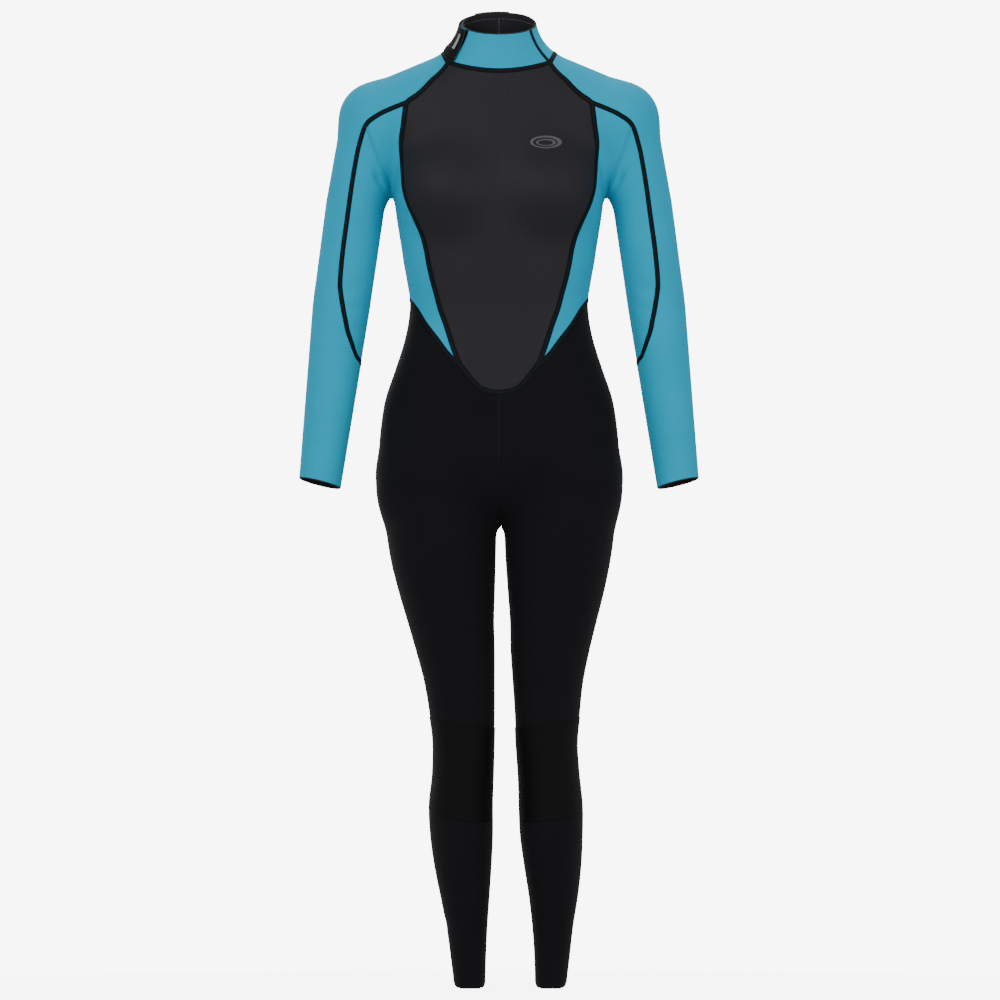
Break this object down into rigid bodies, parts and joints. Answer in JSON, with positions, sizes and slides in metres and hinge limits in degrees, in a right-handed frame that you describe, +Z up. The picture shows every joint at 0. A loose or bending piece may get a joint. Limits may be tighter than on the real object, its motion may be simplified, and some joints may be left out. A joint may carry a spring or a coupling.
{
  "type": "full wetsuit",
  "caption": "Full wetsuit with long sleeves, charcoal bib chest, turquoise sleeves and sides, black legs, high collar with a hook-and-loop neck tab, and a back zip.",
  "frame": {"origin": "middle of the suit's box at the height of the ankle hems", "axes": "+Z up along the body, +X towards the wearer's left, the front faces -Y"},
  "size_m": [0.5872, 0.2236, 1.4351],
  "materials": {
    "chest_rubber": "fine mesh-faced smooth rubber, charcoal",
    "turquoise_jersey": "matte knit-faced neoprene",
    "black_jersey": "matte knit-faced neoprene",
    "black_knee_rubber": "textured abrasion pad",
    "grey_print": "printed rubber mark",
    "black_tab_neoprene": "bound neoprene strap",
    "hook_and_loop": "hook and loop",
    "zip_webbing": "woven tape",
    "zip_plastic": "moulded plastic teeth",
    "zip_metal": "satin",
    "tab_plastic": "moulded plastic",
    "turquoise_thread": "flatlock thread",
    "black_thread": "flatlock thread"
  },
  "bodies": {
    "suit": {"chest_panel": "chest_rubber", "back_panel_left": "black_jersey", "back_panel_right": "black_jersey", "side_panel_left": "turquoise_jersey", "side_panel_right": "turquoise_jersey", "sleeve_left": "turquoise_jersey", "sleeve_right": "turquoise_jersey", "underarm_panel_left": "turquoise_jersey", "underarm_panel_right": "turquoise_jersey", "leg_front_left": "black_jersey", "leg_front_right": "black_jersey", "leg_back_left": "black_jersey", "leg_back_right": "black_jersey", "knee_pad_left": "black_knee_rubber", "knee_pad_right": "black_knee_rubber", "chest_badge": "grey_print", "collar_front": "turquoise_jersey", "collar_back_left": "turquoise_jersey", "collar_back_right": "turquoise_jersey", "neck_flap": "black_tab_neoprene", "loop_patch": "hook_and_loop", "zip_tape_left": "zip_webbing", "zip_tape_right": "zip_webbing", "zip_teeth_left": "zip_plastic", "zip_teeth_right": "zip_plastic", "top_stops": "zip_metal", "bottom_stop": "zip_metal", "zip_flap": "black_jersey", "neck_seam": "black_thread", "chest_seam": "black_thread", "back_seam": "black_thread", "centre_seam": "black_thread", "collar_seam_left": "black_thread", "collar_seam_right": "black_thread", "sleeve_seam_left": "black_thread", "sleeve_seam_right": "black_thread", "armhole_seam_left": "turquoise_thread", "armhole_seam_right": "turquoise_thread", "forearm_seam_left": "turquoise_thread", "forearm_seam_right": "turquoise_thread", "hip_seam_left": "black_thread", "hip_seam_right": "black_thread", "outer_leg_seam_left": "black_thread", "outer_leg_seam_right": "black_thread", "inner_leg_seam_left": "black_thread", "inner_leg_seam_right": "black_thread"},
    "slider": {"zip_slider": "zip_metal"},
    "pull": {"pull_tab": "tab_plastic"},
    "tab": {"neck_tab": "black_tab_neoprene", "hook_patch": "hook_and_loop"}
  },
  "joints": [
    {"name": "zip_slide", "type": "slide", "parent": "suit", "child": "slider", "axis": [0, -0.0368, 0.9993], "range_m": [-0.345, 0]},
    {"name": "pull_tab_hinge", "type": "hinge", "parent": "slider", "child": "pull", "pos_m": [0, 0.06283, 1.34712], "axis": [1, 0, 0], "range_deg": [0, 160]},
    {"name": "neck_tab_peel", "type": "hinge", "parent": "suit", "child": "tab", "pos_m": [-0.0416, 0.0494, 1.403], "axis": [-0.1529, 0.3209, -0.9347], "range_deg": [0, 75]}
  ]
}
